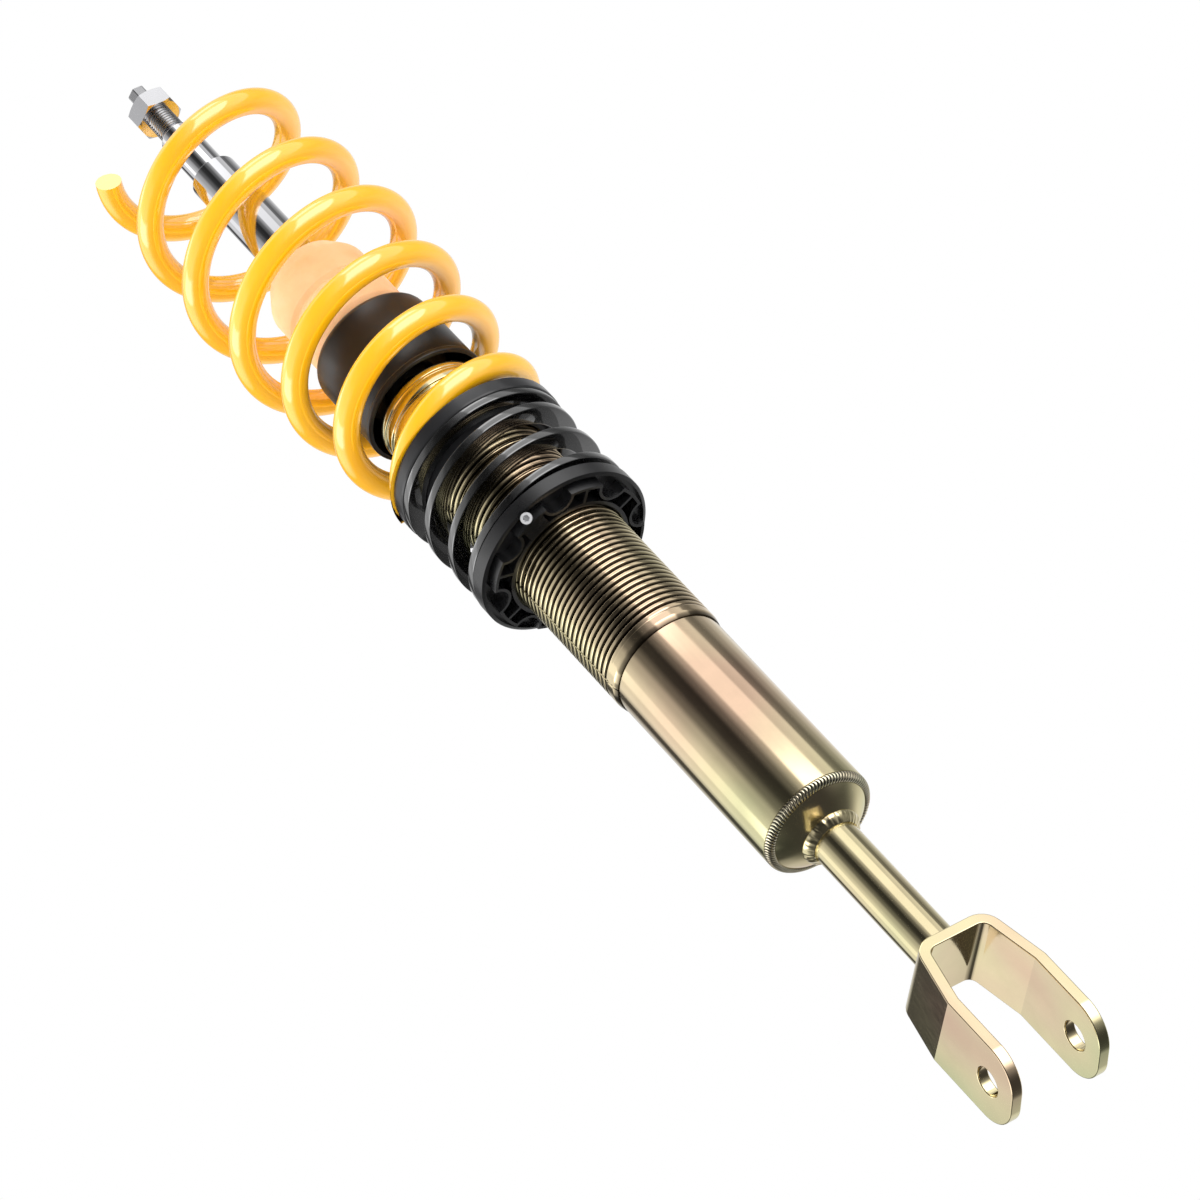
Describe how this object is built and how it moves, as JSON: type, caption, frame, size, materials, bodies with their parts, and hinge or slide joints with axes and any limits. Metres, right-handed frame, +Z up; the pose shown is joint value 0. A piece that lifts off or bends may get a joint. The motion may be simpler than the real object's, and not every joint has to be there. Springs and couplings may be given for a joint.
{
  "type": "coilover",
  "caption": "Suspension strut: clevis fork, threaded damper with adjustable seat, flat helper spring, barrel main spring, chromed rod, foam stop and dust boot.",
  "frame": {"origin": "centre of the fork's bolt hole, midway between the two ears", "axes": "+Z up the strut from the fork to the rod's tip, +X along the fork bolt"},
  "size_m": [0.1034, 0.1033, 0.6665],
  "materials": {
    "zinc": "yellow zinc plating with green and pink tints",
    "weld": "plated weld bead",
    "seal_rubber": "matte",
    "alloy": "turned",
    "bush_bronze": "bronze-backed bush",
    "band_ptfe": "filled PTFE",
    "spring_steel": "ground",
    "chrome": "hard chrome, polished",
    "nut_plate": "bright plated",
    "pu_foam": "cream polyurethane foam",
    "boot_rubber": "matte moulded",
    "helper_black": "gloss black",
    "ring_black": "satin black",
    "spring_yellow": "glossy powder coat",
    "collar_plastic": "satin moulded composite",
    "screw_steel": "bright"
  },
  "bodies": {
    "strut": {"fork": "zinc", "fork_weld": "weld", "stem": "zinc", "stem_weld": "weld", "end_plug": "zinc", "body_weld": "weld", "body_tube": "zinc", "threaded_sleeve": "zinc", "gland_cap": "zinc", "rod_wiper": "seal_rubber", "oil_seal": "seal_rubber", "rod_guide": "alloy", "guide_bush": "bush_bronze", "guide_o_ring": "seal_rubber"},
    "gas_separator": {"gas_piston": "alloy", "gas_piston_ring": "seal_rubber"},
    "piston_slider": {"piston_band": "band_ptfe"},
    "rod": {"piston_rod": "chrome", "top_nut": "nut_plate", "piston": "alloy", "upper_shims": "spring_steel", "lower_shims": "spring_steel", "piston_nut": "spring_steel", "rebound_washer": "spring_steel", "rebound_stop": "seal_rubber"},
    "stop_and_boot": {"bump_stop": "pu_foam", "dust_boot": "boot_rubber"},
    "spring_stack": {"helper_spring": "helper_black"},
    "collar": {"adjuster_collar": "collar_plastic", "set_screw": "screw_steel"},
    "perch": {"adapter_ring": "ring_black", "main_spring": "spring_yellow"}
  },
  "joints": [
    {"name": "rod_stroke", "type": "slide", "parent": "strut", "child": "piston_slider", "axis": [0, 0, 1], "range_m": [-0.11, 0], "stiffness_N_per_m": 200, "springref_m": 0.4, "deforming": ["main_spring"]},
    {"name": "rod_turn", "type": "hinge", "parent": "piston_slider", "child": "rod", "pos_m": [0, 0, 0.34], "axis": [0, 0, 1], "continuous": true},
    {"name": "gas_piston_slide", "type": "slide", "parent": "strut", "child": "gas_separator", "axis": [0, 0, 1], "range_m": [-0.034, 0]},
    {"name": "stop_slide", "type": "slide", "parent": "strut", "child": "stop_and_boot", "axis": [0, 0, 1], "range_m": [-0.014, 0.06]},
    {"name": "height_adjust", "type": "slide", "parent": "strut", "child": "spring_stack", "axis": [0, 0, 1], "range_m": [-0.06, 0.015]},
    {"name": "collar_turn", "type": "hinge", "parent": "spring_stack", "child": "collar", "pos_m": [0, 0, 0.32], "axis": [0, 0, 1], "range_deg": [-7236, 1836]},
    {"name": "helper_travel", "type": "slide", "parent": "spring_stack", "child": "perch", "axis": [0, 0, 1], "range_m": [-0.032, 0], "stiffness_N_per_m": 5000, "springref_m": 0.01, "deforming": ["helper_spring"]}
  ],
  "couplings": [
    {"joint": "collar_turn", "follows": "height_adjust", "rad_per_m": 2094.4},
    {"joint": "gas_piston_slide", "follows": "rod_stroke", "ratio": 0.3025}
  ]
}
